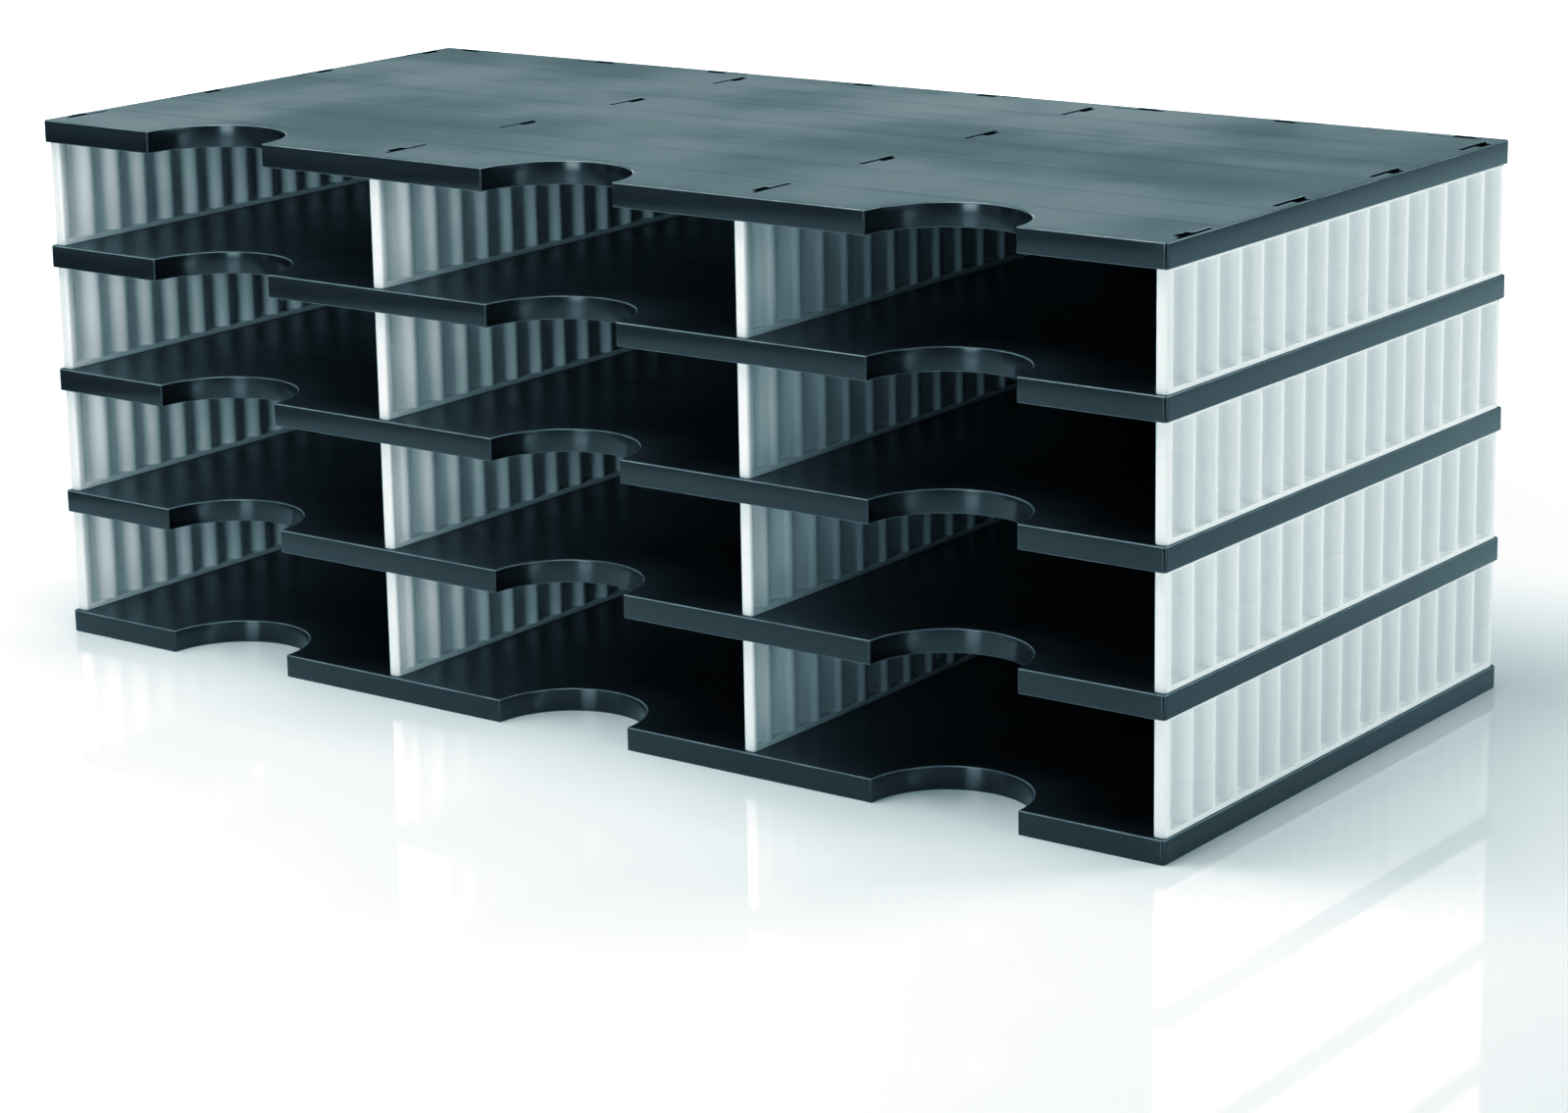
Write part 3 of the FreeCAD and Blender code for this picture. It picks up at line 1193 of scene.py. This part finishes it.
@dataclass(frozen=True)
class Viewpoint:
    """The photograph's view: from the front right, a little above the top plate.

    Attributes:
        place: Where the camera stands.
        angles: How far it is turned left from +Y, looks down and is rolled, in degrees.
        focal: Its focal length in pixels.
        width: The picture's width in pixels.
        shift: Its shift upwards, as a share of that width.
    """

    place: Triple = (1.2518, -1.6551, 0.6162)
    angles: Triple = (36.675, 13.693, -1.032)
    focal: float = 3997.0
    width: float = 1599.0
    shift: float = -0.06

    def add(self) -> None:
        """Adds the camera. Its axes without roll are turned about the way ahead."""
        yaw, pitch, roll = (math.radians(angle) for angle in self.angles)
        level = math.cos(pitch)
        ahead = Vector((-math.sin(yaw) * level, math.cos(yaw) * level, -math.sin(pitch)))
        right = Vector((math.cos(yaw), math.sin(yaw), 0.0))
        up = right.cross(ahead)
        side = right * math.cos(roll) + up * math.sin(roll)
        top = up * math.cos(roll) - right * math.sin(roll)
        data = bpy.data.cameras.new("camera")
        data.sensor_fit = "HORIZONTAL"
        data.sensor_width = 36.0
        data.lens = self.focal / self.width * data.sensor_width
        data.shift_y = self.shift
        data.clip_start, data.clip_end = 0.05, 60.0
        made = placed("camera", data)
        axes = Matrix((side, top, -ahead)).transposed().to_4x4()
        made.matrix_world = Matrix.Translation(self.place) @ axes
        bpy.context.scene.camera = made


@dataclass
class Studio:
    """Table, lights, camera and print.

    Attributes:
        patches: The room's bright patches.
        under: Brightness of the room below the table.
        boxes: The softboxes.
        reach: Half of the table's width.
        dim: Middle of the part of the table that the lights alone light.
        glow: Distances from there at which the table starts to glow and is plain white.
        echo: How much of the glow the sorter sees.
        shade: X between which the sorter sees the table turn from dark to pale.
        dark: Base colour of its dark part.
        pale: Base colour of the table.
        polish: Roughness of the table, low and high.
        view: The camera.
        red: Points of the print's curve for red, between black and white.
        blue: Points of the print's curve for blue.
    """

    patches: tuple[RoomPatch, ...] = (
        RoomPatch((1.00, 0.00, 0.14), 7, 27, 4.40),
        RoomPatch((0.50, 0.87, 0.14), 7, 27, 0.80),
        RoomPatch((-0.375, 0.927, 0.08), 4, 18, 0.95),
        RoomPatch((-0.643, 0.766, 0.04), 4, 18, 1.65),
        RoomPatch((-0.848, 0.530, 0.08), 4, 18, 1.00),
        RoomPatch((-1.00, 0.00, 0.14), 7, 27, 0.40),
        RoomPatch((-0.82, -0.57, 0.14), 7, 27, 0.50),
        RoomPatch((-0.42, -0.91, 0.14), 7, 27, 0.30),
        RoomPatch((0.951, -0.309, 0.14), 7, 27, 0.61),
    )
    under: float = 0.175
    boxes: tuple[Softbox, ...] = (
        Softbox("overhead", (-0.20, -0.30, 1.60), (-0.20, -0.30, 0.0), (0.9, 1.0), 27.0),
        Softbox("overhead_left", (-1.15, -0.50, 1.50), (-0.20, -0.20, 0.2), (0.8, 0.9), 9.0),
        Softbox("overhead_back", (-0.10, 0.80, 1.60), (0.0, 0.30, 0.0), (1.6, 0.8), 2.0),
        Softbox("overhead_far", (1.20, 1.10, 1.30), (1.10, 1.00, 0.0), (0.8, 0.8), 17.0),
        Softbox("front", (0.12, -1.70, 0.45), (0.0, 0.0, 0.15), (0.5, 0.7), 10.0),
    )
    reach: float = 4.0
    dim: Triple = (-0.35, -0.75, 0.0)
    glow: Pair = (1.35, 2.1)
    echo: float = 0.15
    shade: Pair = (-0.72, -0.56)
    dark: float = 0.08
    pale: float = 0.85
    polish: Pair = (0.03, 0.05)
    view: Viewpoint = field(default_factory=Viewpoint)
    red: tuple[Pair, ...] = ((0.05, 0.028), (0.2, 0.127), (0.35, 0.282), (0.8, 0.716))
    blue: tuple[Pair, ...] = ((0.05, 0.062), (0.2, 0.22), (0.35, 0.376))

    def floor(self) -> None:
        """A white polished table that runs out into plain white.

        The sorter sees less of that white, and a dark strip at the left, as if a black card lay
        there out of the picture.
        """
        mesh = bpy.data.meshes.new("floor")
        corners = rectangle((-self.reach, -self.reach), (self.reach, self.reach))
        mesh.from_pydata([(x, y, 0.0) for x, y in corners], [], [(0, 1, 2, 3)])
        made = placed("floor", mesh)
        paint = bpy.data.materials.new("floor_white")
        paint.use_nodes = True
        net = Net(paint.node_tree)
        shader = net.tree.nodes["Principled BSDF"]
        shader.inputs["IOR"].default_value = 1.5
        shader.inputs["Emission Strength"].default_value = 1.0
        place = net.add("TexCoord")["Object"]
        gloss = net.noise(place, scale=14.0, detail=2.0)
        net.join(net.span(gloss, *NOISE_RANGE, *self.polish), shader.inputs["Roughness"])
        away = net.add("VectorMath", place, self.dim, operation="DISTANCE")["Value"]
        direct = net.add("LightPath")["Is Camera Ray"]
        light = net.times(net.span(away, *self.glow), net.blend(direct, self.echo, 1.0))
        net.join(light, shader.inputs["Emission Color"])
        card = net.span(net.add("SeparateXYZ", place)["X"], *self.shade, self.dark, self.pale)
        net.join(net.blend(direct, card, self.pale), shader.inputs["Base Color"])
        mesh.materials.append(paint)

    def lights(self) -> None:
        """A dark room with soft bright patches, and the softboxes.

        The patches add up above the horizon. The camera itself sees plain white round the table.
        """
        world = bpy.data.worlds.new("studio")
        bpy.context.scene.world = world
        world.use_nodes = True
        net = Net(world.node_tree)
        seen = net.add("TexCoord")["Generated"]
        height = net.add("SeparateXYZ", seen)["Z"]
        total = self.patches[0].light(net, seen)
        for patch in self.patches[1:]:
            total = net.plus(total, patch.light(net, seen))
        total = net.blend(net.calc("GREATER_THAN", height), self.under, total)
        total = net.blend(net.add("LightPath")["Is Camera Ray"], total, 1.0)
        back = net.tree.nodes["Background"]
        back.inputs["Color"].default_value = (1.0, 1.0, 1.0, 1.0)
        net.join(total, back.inputs["Strength"])
        for box in self.boxes:
            box.add()

    def film(self) -> None:
        """A printed picture's tones: the greys run cool, black and white stay neutral."""
        view = bpy.context.scene.view_settings
        view.view_transform = "Standard"
        view.use_curve_mapping = True
        for index, points in ((0, self.red), (2, self.blue)):
            curve = view.curve_mapping.curves[index]
            for x, y in points:
                curve.points.new(x, y)
        view.curve_mapping.update()

    def build(self) -> None:
        """Sets the whole studio."""
        self.floor()
        self.lights()
        self.view.add()
        self.film()


def main() -> None:
    """Builds the sorter in its studio."""
    logging.basicConfig(level=logging.INFO, format="%(name)s: %(message)s")
    Sorter().build()
    Studio().build()


if __name__ == "__main__":
    main()
